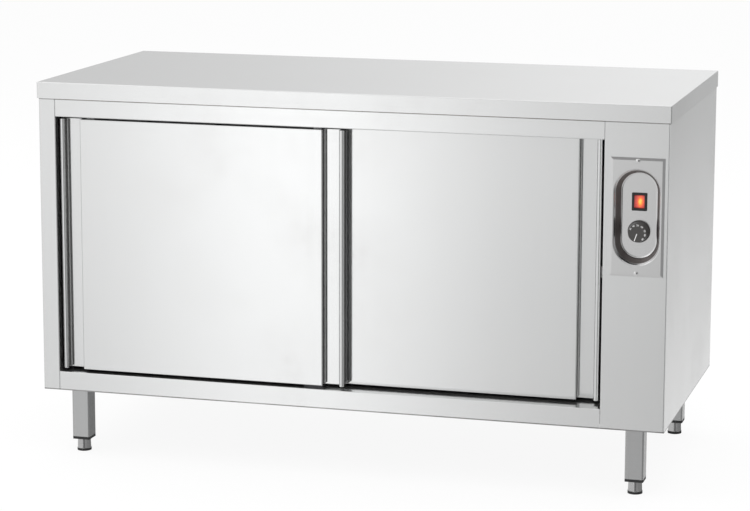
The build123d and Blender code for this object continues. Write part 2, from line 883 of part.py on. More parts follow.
with BuildPart() as control_knob:
    with BuildSketch(facing_front(dish_floor - seam)):
        with Locations((plate_centre, knob_level)):
            Circle(knob_radius)
    extrude(amount=knob_skirt)
    chamfer(control_knob.faces().sort_by(Axis.Y)[0].edges(), knob_skirt_bevel)
    with BuildSketch(facing_front(dish_floor - seam - knob_skirt)):
        with Locations((plate_centre, knob_level)):
            Circle(knob_radius - knob_skirt_bevel)
    with BuildSketch(facing_front(dish_floor - seam - knob_height)):
        with Locations((plate_centre, knob_level)):
            Circle(knob_face_radius)
    loft()
    with BuildSketch(facing_front(dish_floor - seam - knob_skirt)):
        with Locations((plate_centre, knob_level)):
            with PolarLocations(knob_radius - knob_skirt_bevel, knob_flutes):
                Circle(knob_flute_radius)
    extrude(amount=knob_height, mode=Mode.SUBTRACT)
    fillet(control_knob.faces().sort_by(Axis.Y)[0].edges(), knob_edge)
    with BuildSketch(facing_front(dish_floor)):
        with Locations((plate_centre, knob_level)):
            Circle(thermostat_neck_radius + seam)
    extrude(amount=neck_rise + 2 * seam, mode=Mode.SUBTRACT)
    with BuildSketch(facing_front(dish_floor)):
        with Locations((plate_centre, knob_level)):
            Circle(shaft_radius + turning_gap)
    extrude(amount=knob_bore_depth + seam, mode=Mode.SUBTRACT)
    with BuildSketch(facing_front(dish_floor - seam - knob_height)):
        with Locations(Location((plate_centre, knob_level), index_angle)):
            with Locations((index_start, 0)):
                Rectangle(knob_radius, index_width, align=(Align.MIN, Align.CENTER))
    extrude(amount=-index_depth, mode=Mode.SUBTRACT)
finish(control_knob, "control_knob")

# heater and fan
with BuildPart() as fan_duct:
    with BuildSketch(Plane.YZ.offset(partition_back)):
        between(duct_front, duct_rear, duct_bottom, duct_top)
    extrude(amount=duct_width)
    fillet(fan_duct.faces().sort_by(Axis.X)[-1].edges(), cove_round)
    offset(amount=-sheet, openings=fan_duct.faces().sort_by(Axis.X)[0])
    with BuildSketch(Plane.YZ.offset(partition_back)):
        between(
            duct_front - duct_flange, duct_rear + duct_flange,
            duct_bottom - duct_flange, duct_top + duct_flange,
        )
        with Locations((duct_centre, (duct_bottom + duct_top) / 2)):
            Rectangle(duct_rear - duct_front - sheet, duct_top - duct_bottom - sheet, mode=Mode.SUBTRACT)
    extrude(amount=sheet)
    with BuildSketch(Plane.YZ.offset(partition_back + duct_width)):
        with Locations((duct_centre, fan_level)):
            Circle(motor_boss_radius + seam)
        with Locations((element_rear, element_top), (element_rear, element_top - 2 * element_pitch)):
            Circle(element_radius + seam)
    extrude(amount=-2 * sheet, mode=Mode.SUBTRACT)
finish(fan_duct, "fan_duct")

with BuildPart() as fan_motor:
    for radius, start, end in (
        (motor_radius, duct_outer, duct_outer + motor_length),
        (motor_boss_radius, duct_outer, duct_outer - motor_boss),
        (motor_shaft_radius, duct_outer - motor_boss, duct_outer - motor_boss - impeller_hub),
    ):
        with BuildSketch(Plane.YZ.offset(start)):
            with Locations((duct_centre, fan_level)):
                Circle(radius)
        extrude(amount=end - start)
    fillet(fan_motor.faces().sort_by(Axis.X)[-1].edges(), cove_round)
finish(fan_motor, "fan_motor")

with BuildPart() as impeller:
    with BuildSketch(Plane.YZ.offset(impeller_plate)):
        with Locations((duct_centre, fan_level)):
            Circle(impeller_radius)
    extrude(amount=-sheet)
    with BuildSketch(Plane.YZ.offset(impeller_plate)):
        with Locations((duct_centre, fan_level)):
            Circle(impeller_hub_radius)
    extrude(amount=-impeller_hub)
    with BuildSketch(Plane.YZ.offset(impeller_plate)):
        with Locations((duct_centre, fan_level)):
            with PolarLocations(impeller_radius - blade_width / 2, impeller_blades):
                with Locations(Location((0, 0), blade_angle)):
                    Rectangle(blade_width, sheet)
    extrude(amount=-impeller_width)
    with BuildSketch(Plane.YZ.offset(impeller_plate)):
        with Locations((duct_centre, fan_level)):
            Circle(motor_shaft_radius + turning_gap)
    extrude(amount=-impeller_hub, mode=Mode.SUBTRACT)
finish(impeller, "impeller")

with BuildPart() as heating_element:
    with BuildLine() as element_path:
        FilletPolyline(
            (duct_outer + element_tail, element_rear, element_top),
            (element_x, element_rear, element_top),
            (element_x, element_front, element_top),
            (element_x, element_front, element_top - element_pitch),
            (element_x, element_rear, element_top - element_pitch),
            (element_x, element_rear, element_top - 2 * element_pitch),
            (duct_outer + element_tail, element_rear, element_top - 2 * element_pitch),
            radius=element_round,
        )
    with BuildSketch(Plane.YZ.offset(duct_outer + element_tail)):
        with Locations((element_rear, element_top)):
            Circle(element_radius)
    sweep(path=element_path.wire())
finish(heating_element, "heating_element")

# rear entry
with BuildPart() as cable_gland:
    for level, rise in ((tray_bottom, -gland_hex), (lagging_bottom, gland_nut)):
        with BuildSketch(Plane.XY.offset(level)):
            with Locations((entry_x, gland_y)):
                RegularPolygon(gland_radius, 6)
        extrude(amount=rise)
    with BuildSketch(Plane.XY.offset(tray_bottom - gland_hex - gland_dome)):
        with Locations((entry_x, gland_y)):
            Circle(gland_thread_radius)
    extrude(amount=gland_dome + gland_hex + gland_in)
    fillet(cable_gland.faces().sort_by(Axis.Z)[0].edges(), gland_round)
    with BuildSketch(Plane.XY.offset(tray_bottom - gland_hex - gland_dome)):
        with Locations((entry_x, gland_y)):
            Circle(gland_bore)
    extrude(amount=gland_dome + gland_hex + gland_in, mode=Mode.SUBTRACT)
finish(cable_gland, "cable_gland")

with BuildPart() as terminal_block:
    with BuildSketch(facing_front(back_inner)):
        with Locations((entry_x, terminal_level)):
            Rectangle(terminal_width, terminal_height)
    extrude(amount=terminal_depth)
    fillet(terminal_block.edges().filter_by(Axis.Y), bezel_round)
    with BuildSketch(facing_front(back_inner - terminal_depth)):
        with Locations((entry_x, terminal_level)):
            with GridLocations(terminal_step, terminal_rise, terminal_columns, terminal_rows):
                Circle(terminal_hole)
    extrude(amount=-terminal_depth / 2, mode=Mode.SUBTRACT)
finish(terminal_block, "terminal_block")

# legs and levelling feet
for name, (leg_x, leg_y) in zip(leg_names, leg_places):
    with BuildPart() as leg:
        with BuildSketch(Plane.XY.offset(foot_height + cap_depth)):
            with Locations((leg_x, leg_y)):
                RectangleRounded(leg_side, leg_side, leg_corner)
                RectangleRounded(leg_bore, leg_bore, leg_corner - leg_wall, mode=Mode.SUBTRACT)
        extrude(amount=tray_bottom - leg_plate_thickness - foot_height - cap_depth)
        with BuildSketch(Plane.XY.offset(tray_bottom - leg_plate_thickness)):
            with Locations((leg_x, leg_y)):
                RectangleRounded(leg_plate, leg_plate, leg_plate_round)
                with GridLocations(2 * bolt_offset, 2 * bolt_offset, 2, 2):
                    Circle(bolt_radius + seam, mode=Mode.SUBTRACT)
        extrude(amount=leg_plate_thickness)
    finish(leg, f"leg_{name}")

    with BuildPart() as levelling_foot:
        with BuildSketch(Plane.XZ):
            with BuildLine():
                Polyline(
                    (0, 0),
                    (foot_bottom_radius, 0),
                    (foot_bottom_radius, foot_pad),
                    (foot_bottom_radius - foot_pad_step, foot_pad + foot_pad_step),
                    (foot_top_radius, foot_height - seam - foot_pad_step),
                    (foot_top_radius - foot_pad_step, foot_height - seam),
                    (stud_radius, foot_height - seam),
                    (stud_radius, foot_height + stud_length),
                    (0, foot_height + stud_length),
                    close=True,
                )
            make_face()
        revolve(axis=Axis.Z)
        levelling_foot.part.position = (leg_x, leg_y, 0)
    finish(levelling_foot, f"foot_{name}")

with BuildPart() as leg_end_caps:
    with BuildSketch(Plane.XY.offset(foot_height)):
        with Locations(*leg_places):
            RectangleRounded(leg_side, leg_side, leg_corner)
    extrude(amount=cap_depth)
    with BuildSketch(Plane.XY.offset(foot_height + cap_depth)):
        with Locations(*leg_places):
            RectangleRounded(leg_bore - 2 * seam, leg_bore - 2 * seam, leg_corner - leg_wall)
    extrude(amount=cap_plug)
    with BuildSketch(Plane.XY.offset(foot_height)):
        with Locations(*leg_places):
            Circle(stud_radius + turning_gap)
    extrude(amount=cap_depth + cap_plug, mode=Mode.SUBTRACT)
finish(leg_end_caps, "leg_end_caps")

with BuildPart() as leg_bolts:
    with BuildSketch(Plane.XY.offset(tray_bottom - leg_plate_thickness)):
        with Locations(*leg_places):
            with GridLocations(2 * bolt_offset, 2 * bolt_offset, 2, 2):
                RegularPolygon(bolt_head_radius, 6)
    extrude(amount=-bolt_head)
    with BuildSketch(Plane.XY.offset(tray_bottom - leg_plate_thickness)):
        with Locations(*leg_places):
            with GridLocations(2 * bolt_offset, 2 * bolt_offset, 2, 2):
                Circle(bolt_radius)
    extrude(amount=leg_plate_thickness + sheet)
finish(leg_bolts, "leg_bolts")
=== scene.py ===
import bmesh
import bpy
import math
import numpy as np
from mathutils import Matrix, Vector


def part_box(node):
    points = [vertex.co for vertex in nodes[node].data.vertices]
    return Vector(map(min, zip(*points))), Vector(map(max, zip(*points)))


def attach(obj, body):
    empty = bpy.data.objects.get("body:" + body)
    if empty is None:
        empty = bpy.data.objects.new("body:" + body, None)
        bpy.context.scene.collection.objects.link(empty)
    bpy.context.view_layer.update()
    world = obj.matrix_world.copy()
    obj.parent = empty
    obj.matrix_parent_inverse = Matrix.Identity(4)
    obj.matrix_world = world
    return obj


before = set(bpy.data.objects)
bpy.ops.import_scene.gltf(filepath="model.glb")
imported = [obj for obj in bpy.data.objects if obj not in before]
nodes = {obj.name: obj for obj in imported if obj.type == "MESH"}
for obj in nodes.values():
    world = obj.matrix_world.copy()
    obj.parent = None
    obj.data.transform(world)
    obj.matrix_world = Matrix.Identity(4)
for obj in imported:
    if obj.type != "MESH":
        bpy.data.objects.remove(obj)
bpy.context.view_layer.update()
print("frame loaded:", len(nodes), "nodes")

mm = 0.001
noiseLow, noiseHigh = 0.3, 0.7    # a noise node seldom leaves this range


# small helpers for shader trees

def newTree(name):
    mat = bpy.data.materials.new(name)
    mat.use_nodes = True
    tree = mat.node_tree
    tree.nodes.clear()
    return mat, tree


def addNode(tree, kind, inputs=None, **settings):
    # an input that is a socket gets a link, any other is a plain value
    node = tree.nodes.new(kind)
    for key, value in settings.items():
        setattr(node, key, value)
    for key, value in (inputs or {}).items():
        if isinstance(value, bpy.types.NodeSocket):
            tree.links.new(value, node.inputs[key])
        else:
            node.inputs[key].default_value = value
    return node


def noise(tree, vector, scale, detail=3.0, roughness=0.55):
    settings = {"Vector": vector, "Scale": scale, "Detail": detail, "Roughness": roughness}
    return addNode(tree, "ShaderNodeTexNoise", settings).outputs["Fac"]


def stretch(tree, vector, scale, turn=(0, 0, 0)):
    settings = {"Vector": vector, "Scale": scale, "Rotation": turn}
    return addNode(tree, "ShaderNodeMapping", settings).outputs["Vector"]


def remap(tree, value, lowIn, highIn, lowOut, highOut):
    ends = {"Value": value, "From Min": lowIn, "From Max": highIn, "To Min": lowOut, "To Max": highOut}
    return addNode(tree, "ShaderNodeMapRange", ends, clamp=True).outputs["Result"]


def fromNoise(tree, value, low, high):
    return remap(tree, value, noiseLow, noiseHigh, low, high)


def mixColour(tree, share, first, second, blend="MIX"):
    inputs = {0: share, 6: first, 7: second}
    return addNode(tree, "ShaderNodeMix", inputs, data_type="RGBA", blend_type=blend).outputs[2]


def mixNumber(tree, share, first, second):
    return addNode(tree, "ShaderNodeMix", {0: share, 2: first, 3: second}, data_type="FLOAT").outputs[0]


def grey(level, tint=(1, 1, 1)):
    return (level * tint[0], level * tint[1], level * tint[2], 1)


def calc(tree, operation, first, second=0.0):
    return addNode(tree, "ShaderNodeMath", {0: first, 1: second}, operation=operation).outputs[0]


def vectorCalc(tree, operation, first, second, result="Vector"):
    return addNode(tree, "ShaderNodeVectorMath", {0: first, 1: second}, operation=operation).outputs[result]


def scaleColour(tree, colour, factor):
    spread = addNode(tree, "ShaderNodeCombineColor", {0: factor, 1: factor, 2: factor}).outputs[0]
    return mixColour(tree, 1.0, colour, spread, "MULTIPLY")


def objectPlace(tree):
    return addNode(tree, "ShaderNodeTexCoord").outputs["Object"]


def axesOf(tree, vector):
    return addNode(tree, "ShaderNodeSeparateXYZ", {"Vector": vector}).outputs


def bumpNormal(tree, height, distance, strength):
    settings = {"Height": height, "Distance": distance, "Strength": strength}
    return addNode(tree, "ShaderNodeBump", settings).outputs["Normal"]


def newGroup(name, inputs, outputs):
    tree = bpy.data.node_groups.new(name, "ShaderNodeTree")
    for label, value in inputs.items():
        kind = "NodeSocketVector" if isinstance(value, tuple) else "NodeSocketFloat"
        tree.interface.new_socket(label, in_out="INPUT", socket_type=kind).default_value = value
    for label, kind in outputs.items():
        tree.interface.new_socket(label, in_out="OUTPUT", socket_type=kind)
    return tree, tree.nodes.new("NodeGroupInput").outputs, tree.nodes.new("NodeGroupOutput").inputs


def useGroup(tree, group, **inputs):
    return addNode(tree, "ShaderNodeGroup", inputs, node_tree=group).outputs


def finishMaterial(mat, tree, **sockets):
    # one Principled shader: plain values sit on its own sockets, links carry what changes over the surface
    inputs = {key.replace("_", " "): value for key, value in sockets.items()}
    shader = addNode(tree, "ShaderNodeBsdfPrincipled", inputs)
    addNode(tree, "ShaderNodeOutputMaterial", {"Surface": shader.outputs["BSDF"]})
    return mat


# effects that several finishes share

scratches = {
    "fine": 1.6,
    "fineShare": 0.7,
    "slow": 0.13,
    "slowShare": 0.3,
    "strength": 0.12,
}


def makeBrushedGrain():
    # long fine scratches: noise squeezed across the brushing and drawn out along it, over a slower banding
    tree, given, out = newGroup(
        "brushedGrain",
        {"Squeeze": (1.0, 400.0, 400.0), "Depth": 0.01 * mm},
        {"Streak": "NodeSocketFloat", "Normal": "NodeSocketVector"},
    )
    squeezed = vectorCalc(tree, "MULTIPLY", objectPlace(tree), given["Squeeze"])
    fine = noise(tree, squeezed, scratches["fine"], 4.0, 0.7)
    slow = noise(tree, squeezed, scratches["slow"], 2.0, 0.5)
    finePart = calc(tree, "MULTIPLY", fine, scratches["fineShare"])
    slowPart = calc(tree, "MULTIPLY", slow, scratches["slowShare"])
    tree.links.new(calc(tree, "ADD", finePart, slowPart), out["Streak"])
    tree.links.new(bumpNormal(tree, fine, given["Depth"], scratches["strength"]), out["Normal"])
    return tree


smears = {
    "swirl": 1.2,
    "patches": (0.42, 0.68),       # between these the noise turns into a smear
    "printSize": 38.0,
    "prints": (0.35, 0.7),
    "betweenPrints": 0.4,          # what is left of a smear between the fingermarks
}


def makeHandling():
    # wiped-over smears and a few faint fingermarks, as a mask from 0 to 1
    tree, given, out = newGroup("handling", {"Size": 3.0}, {"Smear": "NodeSocketFloat"})
    where = objectPlace(tree)
    settings = {"Vector": where, "Scale": given["Size"], "Detail": 4.0, "Distortion": smears["swirl"]}
    broad = addNode(tree, "ShaderNodeTexNoise", settings).outputs["Fac"]
    close = noise(tree, where, smears["printSize"], 3.0, 0.6)
    patches = remap(tree, broad, *smears["patches"], 0, 1)
    prints = remap(tree, close, *smears["prints"], smears["betweenPrints"], 1)
    tree.links.new(calc(tree, "MULTIPLY", patches, prints), out["Smear"])
    return tree


shadeLine = {
    "patches": 14.0,
    "thinnest": 0.75,
    "fadesFrom": 0.6,              # share of its reach at which it starts to fade
}


def makeSeamShade():
    # painted shade: a dark, patchy line at both ends of a height range, as a mask from 0 to 1
    tree, given, out = newGroup(
        "seamShade", {"Top": 1.0, "Bottom": 0.0, "Reach": 2 * mm}, {"PaintedShade": "NodeSocketFloat"}
    )
    where = objectPlace(tree)
    height = axesOf(tree, where)["Z"]
    patchy = fromNoise(tree, noise(tree, where, shadeLine["patches"], 3.0), shadeLine["thinnest"], 1)
    fromTop = calc(tree, "DIVIDE", calc(tree, "SUBTRACT", given["Top"], height), given["Reach"])
    fromBottom = calc(tree, "DIVIDE", calc(tree, "SUBTRACT", height, given["Bottom"]), given["Reach"])
    near = calc(tree, "MINIMUM", calc(tree, "ABSOLUTE", fromTop), calc(tree, "ABSOLUTE", fromBottom))
    line = remap(tree, near, shadeLine["fadesFrom"], 1.0, 1, 0)
    tree.links.new(calc(tree, "MULTIPLY", line, patchy), out["PaintedShade"])
    return tree


def makeHollowWall():
    # the walls of a pressed hollow, picked by depth: a mask that rises between From and Full,
    # and falls between Fade and To
    tree, given, out = newGroup(
        "hollowWall",
        {"From": 0.0, "Full": 2 * mm, "Fade": 8 * mm, "To": 10 * mm},
        {"Wall": "NodeSocketFloat"},
    )
    depth = axesOf(tree, objectPlace(tree))["Y"]
    rises = remap(tree, depth, given["From"], given["Full"], 0, 1)
    falls = remap(tree, depth, given["To"], given["Fade"], 0, 1)
    tree.links.new(calc(tree, "MULTIPLY", rises, falls), out["Wall"])
    return tree


brushedGrain = makeBrushedGrain()
handling = makeHandling()
seamShade = makeSeamShade()
hollowWall = makeHollowWall()


# steel

brushing = {
    "along": 2.0,                  # how far the scratches are squeezed along the brushing
    "across": 520.0,               # and across it
    "depth": 0.01 * mm,
    "smearSize": 2.6,
    "smearAdds": 0.04,             # what a smear adds to the roughness
    "streakAdds": 0.02,            # the same for a scratch, up and down
    "metallic": 0.95,
    "tint": (0.992, 1.0, 1.0),
    "streakTones": (0.985, 1.012),  # this and the tones below are shares of the steel's own
    "smearTone": 0.97,
    "smearTint": (1.0, 0.998, 0.992),
    "smearShare": 0.5,
    "seamShadeReach": 3.2 * mm,         # painted shade along the case's top and bottom edges
    "seamShadeTone": 0.3,
    "seamShadeTint": (1.0, 0.99, 0.97),
    "gripFrom": 3 * mm,            # the grips' walls, behind the door's front
    "gripTo": 18 * mm,
    "gripFade": 2 * mm,
    "gripShadeTone": 0.38,
    "gripShadeTint": (1.0, 0.985, 0.965),
}

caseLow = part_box("bottom_rail")[0][2]
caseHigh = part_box("top_rail")[1][2]
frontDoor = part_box("left_door_shell")[0][1]
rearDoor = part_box("right_door_shell")[0][1]

steels = {
    "worktopSteel": {"along": "x", "tone": 0.88, "rough": 0.17},
    "railSteel": {"along": "x", "tone": 0.87, "rough": 0.13, "seamShaded": True},
    "panelSteel": {"along": "z", "tone": 0.86, "rough": 0.13, "seamShaded": True},
    "frontDoorSteel": {"along": "z", "tone": 0.86, "rough": 0.12, "doorFront": frontDoor},
    "rearDoorSteel": {"along": "z", "tone": 0.86, "rough": 0.12, "doorFront": rearDoor},
    "liningSteel": {"along": "y", "tone": 0.66, "rough": 0.34},
    "legSteel": {"along": "z", "tone": 0.55, "rough": 0.22},
}


def grainAlong(tree, along):
    squeeze = tuple(brushing["along"] if axis == along else brushing["across"] for axis in "xyz")
    return useGroup(tree, brushedGrain, Squeeze=squeeze, Depth=brushing["depth"])


def streakedMetal(tree, streak, tone, tint=(1, 1, 1)):
    dark, light = (grey(tone * part, tint) for part in brushing["streakTones"])
    return mixColour(tree, fromNoise(tree, streak, 0, 1), dark, light)


def seamShadeMask(tree):
    return useGroup(tree, seamShade, Top=caseHigh, Bottom=caseLow, Reach=brushing["seamShadeReach"])["PaintedShade"]


def gripShade(tree, doorFront):
    # painted shade on the walls of the grips, behind the door's front
    start, end = doorFront + brushing["gripFrom"], doorFront + brushing["gripTo"]
    fade = brushing["gripFade"]
    return useGroup(tree, hollowWall, From=start, Full=start + fade, Fade=end - fade, To=end)["Wall"]


def brushedSteel(name, along, tone, rough, seamShaded=False, doorFront=None):
    mat, tree = newTree(name)
    grain = grainAlong(tree, along)
    smear = useGroup(tree, handling, Size=brushing["smearSize"])["Smear"]
    metal = streakedMetal(tree, grain["Streak"], tone, brushing["tint"])
    smeared = grey(tone * brushing["smearTone"], brushing["smearTint"])
    metal = mixColour(tree, remap(tree, smear, 0, 1, 0, brushing["smearShare"]), metal, smeared)
    # painted shade: a dark line along the case's top and bottom edges, the shade under the worktop's edge at
    # the top
    if seamShaded:
        seamShadeColour = grey(tone * brushing["seamShadeTone"], brushing["seamShadeTint"])
        metal = mixColour(tree, seamShadeMask(tree), metal, seamShadeColour)
    # painted shade on the grips' walls
    if doorFront is not None:
        dark = grey(tone * brushing["gripShadeTone"], brushing["gripShadeTint"])
        metal = mixColour(tree, gripShade(tree, doorFront), metal, dark)
    smooth, scratched = rough - brushing["streakAdds"], rough + brushing["streakAdds"]
    roughness = calc(
        tree, "ADD", fromNoise(tree, grain["Streak"], smooth, scratched),
        calc(tree, "MULTIPLY", smear, brushing["smearAdds"]),
    )
    return finishMaterial(
        mat, tree, Base_Color=metal, Metallic=brushing["metallic"], Roughness=roughness,
        Normal=grain["Normal"],
    )


dish = {
    "tone": 0.78,
    "wallFrom": 6 * mm,            # behind the plate's front
    "wallFull": 9 * mm,
    "wallTo": 2.2 * mm,            # before the dish's back
    "wallFade": 1 * mm,
    "wallShadeColour": (0.27, 0.243, 0.236, 1),
    "rough": 0.15,
    "wallRough": 0.55,
    "smearAdds": 0.02,
}


def pressedPlate(name):
    # brushed like the case; the drawn wall of the dish is stretched, and so duller; its darker colour is
    # painted shade
    mat, tree = newTree(name)
    low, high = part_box("control_plate")
    grain = grainAlong(tree, "z")
    smear = useGroup(tree, handling, Size=brushing["smearSize"])["Smear"]
    front, back = low[1], high[1] - dish["wallTo"]
    wall = useGroup(
        tree, hollowWall, From=front + dish["wallFrom"], Full=front + dish["wallFull"],
        Fade=back - dish["wallFade"], To=back,
    )["Wall"]
    # the dish wall's dark colour is painted shade, its higher roughness the stretched steel's own
    metal = mixColour(tree, wall, streakedMetal(tree, grain["Streak"], dish["tone"]), dish["wallShadeColour"])
    dull = remap(tree, wall, 0, 1, dish["rough"], dish["wallRough"])
    roughness = calc(tree, "ADD", dull, calc(tree, "MULTIPLY", smear, dish["smearAdds"]))
    return finishMaterial(
        mat, tree, Base_Color=metal, Metallic=1.0, Roughness=roughness, Normal=grain["Normal"]
    )


# zinc

spangle = {
    "crystals": 85.0,
    "tone": 0.55,
    "darkest": 0.86,
    "lightest": 1.12,
    "tint": (0.98, 0.99, 1),
    "rough": (0.36, 0.52),
}


def galvanisedSheet(name):
    # zinc spangle: large flat crystals of slightly different greys
    mat, tree = newTree(name)
    settings = {"Vector": objectPlace(tree), "Scale": spangle["crystals"]}
    cells = addNode(tree, "ShaderNodeTexVoronoi", settings).outputs["Color"]
    crystal = addNode(tree, "ShaderNodeSeparateColor", {"Color": cells}).outputs[0]
    dark = grey(spangle["tone"] * spangle["darkest"], spangle["tint"])
    light = grey(spangle["tone"] * spangle["lightest"], spangle["tint"])
    metal = mixColour(tree, crystal, dark, light)
    roughness = remap(tree, crystal, 0, 1, *spangle["rough"])
    return finishMaterial(mat, tree, Base_Color=metal, Metallic=1.0, Roughness=roughness)


zincCloud = 160.0    # a larger number is a finer clouding of the plating

zincHeads = {
    "zincScrew": {"tones": (0.66, 0.84), "rough": (0.12, 0.2)},
    "domedScrew": {"tones": (0.84, 0.96), "rough": (0.1, 0.16), "dome": 48.0},
}


def domeOverScrews(tree, where, dome):
    # a dome on each of the plate's two heads: height falls with the square of the distance from its middle
    low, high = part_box("plate_screws")
    middleX, middleZ = (low[0] + high[0]) / 2, (low[2] + high[2]) / 2
    apart = ((high[2] - low[2]) - (high[0] - low[0])) / 2
    place = axesOf(tree, where)
    across = calc(tree, "SUBTRACT", place["X"], middleX)
    along = calc(tree, "ABSOLUTE", calc(tree, "SUBTRACT", place["Z"], middleZ))
    along = calc(tree, "SUBTRACT", along, apart)
    acrossSquare, alongSquare = (calc(tree, "MULTIPLY", part, part) for part in (across, along))
    reach = calc(tree, "ADD", acrossSquare, alongSquare)
    return bumpNormal(tree, calc(tree, "MULTIPLY", reach, -dome), 1.0, 1.0)


def zincPlate(name, tones, rough, dome=None):
    mat, tree = newTree(name)
    where = objectPlace(tree)
    cloud = noise(tree, where, zincCloud, 3.0)
    sockets = {
        "Base_Color": mixColour(tree, cloud, grey(tones[0]), grey(tones[1])),
        "Metallic": 1.0,
        "Roughness": fromNoise(tree, cloud, *rough),
    }
    if dome:
        sockets["Normal"] = domeOverScrews(tree, where, dome)
    return finishMaterial(mat, tree, **sockets)


feet = {
    "soleHeight": 5.5 * mm,
    "edge": 0.1 * mm,              # how soft the line between the two is, up and down
    "cloud": 240.0,
    "tones": (0.50, 0.66),
    "soleTone": 0.022,
    "rough": 0.26,
    "soleRough": 0.7,
}


def footMetal(name):
    # die-cast body above, moulded rubber sole ring below
    mat, tree = newTree(name)
    where = objectPlace(tree)
    height = axesOf(tree, where)["Z"]
    sole, edge = feet["soleHeight"], feet["edge"]
    isSole = remap(tree, height, sole - edge, sole + edge, 1, 0)
    dark, light = (grey(tone) for tone in feet["tones"])
    metal = mixColour(tree, noise(tree, where, feet["cloud"], 3.0), dark, light)
    return finishMaterial(
        mat, tree,
        Base_Color=mixColour(tree, isSole, metal, grey(feet["soleTone"])),
        Metallic=calc(tree, "SUBTRACT", 1.0, isSole),
        Roughness=mixNumber(tree, isSole, feet["rough"], feet["soleRough"]),
    )


tube = {
    "cloud": 34.0,
    "dark": (0.16, 0.13, 0.12, 1),
    "light": (0.34, 0.28, 0.20, 1),
    "rough": (0.4, 0.6),
}


def heatTintedTube(name):
    mat, tree = newTree(name)
    cloud = noise(tree, objectPlace(tree), tube["cloud"], 4.0)
    shade = mixColour(tree, cloud, tube["dark"], tube["light"])
    roughness = fromNoise(tree, cloud, *tube["rough"])
    return finishMaterial(mat, tree, Base_Color=shade, Metallic=1.0, Roughness=roughness)


# plastic, rubber and fillings

plastics = {
    "blackPlastic": {"colour": (0.018, 0.018, 0.019, 1), "rough": 0.42},
    "knobPlastic": {"colour": (0.058, 0.055, 0.053, 1), "rough": 0.34},
    "guidePlastic": {"colour": (0.16, 0.16, 0.17, 1), "rough": 0.5},
    "rubber": {"colour": (0.02, 0.02, 0.02, 1), "rough": 0.75},
}

moulding = {
    "pebble": 1560.0,
    "depth": 0.04 * mm,
    "strength": 0.4,
    "scuffSize": 9.0,
    "scuffShare": 0.5,
    "scuffAdds": 0.12,             # to the roughness
    "scuffLightens": (1.35, 0.012),  # the colour times the first, plus the second
}


def mouldedPlastic(name, colour, rough):
    mat, tree = newTree(name)
    pebbles = noise(tree, objectPlace(tree), moulding["pebble"], 2.0)
    scuff = useGroup(tree, handling, Size=moulding["scuffSize"])["Smear"]
    times, plus = moulding["scuffLightens"]
    lighter = tuple(min(1.0, part * times + plus) for part in colour[:3]) + (1,)
    return finishMaterial(
        mat, tree,
        Base_Color=mixColour(tree, remap(tree, scuff, 0, 1, 0, moulding["scuffShare"]), colour, lighter),
        Roughness=remap(tree, scuff, 0, 1, rough, rough + moulding["scuffAdds"]),
        Normal=bumpNormal(tree, pebbles, moulding["depth"], moulding["strength"]),
    )


rollers = {
    "cloud": 90.0,
    "dark": (0.74, 0.73, 0.68, 1),
    "light": (0.84, 0.83, 0.79, 1),
    "rough": (0.38, 0.5),
    "milky": 0.1,
}


def nylon(name):
    mat, tree = newTree(name)
    cloud = noise(tree, objectPlace(tree), rollers["cloud"], 3.0)
    shade = mixColour(tree, cloud, rollers["dark"], rollers["light"])
    roughness = fromNoise(tree, cloud, *rollers["rough"])
    return finishMaterial(
        mat, tree, Base_Color=shade, Roughness=roughness, Subsurface_Weight=rollers["milky"]
    )


wool = {
    "squeeze": (60, 420, 420),
    "turn": (0.3, 0.2, 0.5),
    "dark": (0.42, 0.33, 0.15, 1),
    "light": (0.72, 0.62, 0.36, 1),
    "clumpSize": 22.0,
    "clumpShare": 0.4,
    "clump": (0.36, 0.28, 0.14, 1),
    "rough": 0.95,
    "depth": 0.6 * mm,
    "strength": 0.8,
}


def mineralWool(name):
    mat, tree = newTree(name)
    where = objectPlace(tree)
    fibre = noise(tree, stretch(tree, where, wool["squeeze"], wool["turn"]), 1.0, 5.0, 0.7)
    clump = fromNoise(tree, noise(tree, where, wool["clumpSize"], 3.0), 0, wool["clumpShare"])
    shade = mixColour(tree, fibre, wool["dark"], wool["light"])
    return finishMaterial(
        mat, tree, Base_Color=mixColour(tree, clump, shade, wool["clump"]), Roughness=wool["rough"],
        Normal=bumpNormal(tree, fibre, wool["depth"], wool["strength"]),
    )


board = {
    "squeeze": (160, 240, 420),
    "brown": (0.30, 0.24, 0.13, 1),
    "straw": (0.58, 0.47, 0.28, 1),
    "rough": 0.8,
    "depth": 0.2 * mm,
    "strength": 0.5,
}


def coreBoard(name):
    # pressed chips: flat flakes, from brown to straw
    mat, tree = newTree(name)
    where = stretch(tree, objectPlace(tree), board["squeeze"])
    flakes = addNode(tree, "ShaderNodeTexVoronoi", {"Vector": where, "Scale": 1.0}).outputs["Color"]
    pick = addNode(tree, "ShaderNodeSeparateColor", {"Color": flakes}).outputs[1]
    return finishMaterial(
        mat, tree, Base_Color=mixColour(tree, pick, board["brown"], board["straw"]), Roughness=board["rough"],
        Normal=bumpNormal(tree, pick, board["depth"], board["strength"]),
    )


# the lit rocker

rockerGlow = {
    "edge": (0.20, 0.035, 0.035, 1),
    # inwards from the edge: a colour, and the nearness to the lamp at which it starts and is full
    "inwards": [
        ((0.55, 0.09, 0.07, 1), 0.1, 0.45),
        ((0.95, 0.20, 0.04, 1), 0.45, 0.72),
        ((1.0, 0.62, 0.10, 1), 0.66, 0.84),
    ],
    "lens": (0.20, 0.02, 0.015, 1),
    "rough": 0.18,
    "lampAt": (2 * mm, 0.5 * mm),  # across and up from the middle
    "lampReach": 15 * mm,
    "lampShape": (1.1, 0.3, 0.62),  # a larger number is a narrower lamp
    "mottleSize": 420.0,
    "mottle": 0.07,
    "mottleDepth": 0.2 * mm,
    "mottleStrength": 0.3,
    "strength": 1.0,
}


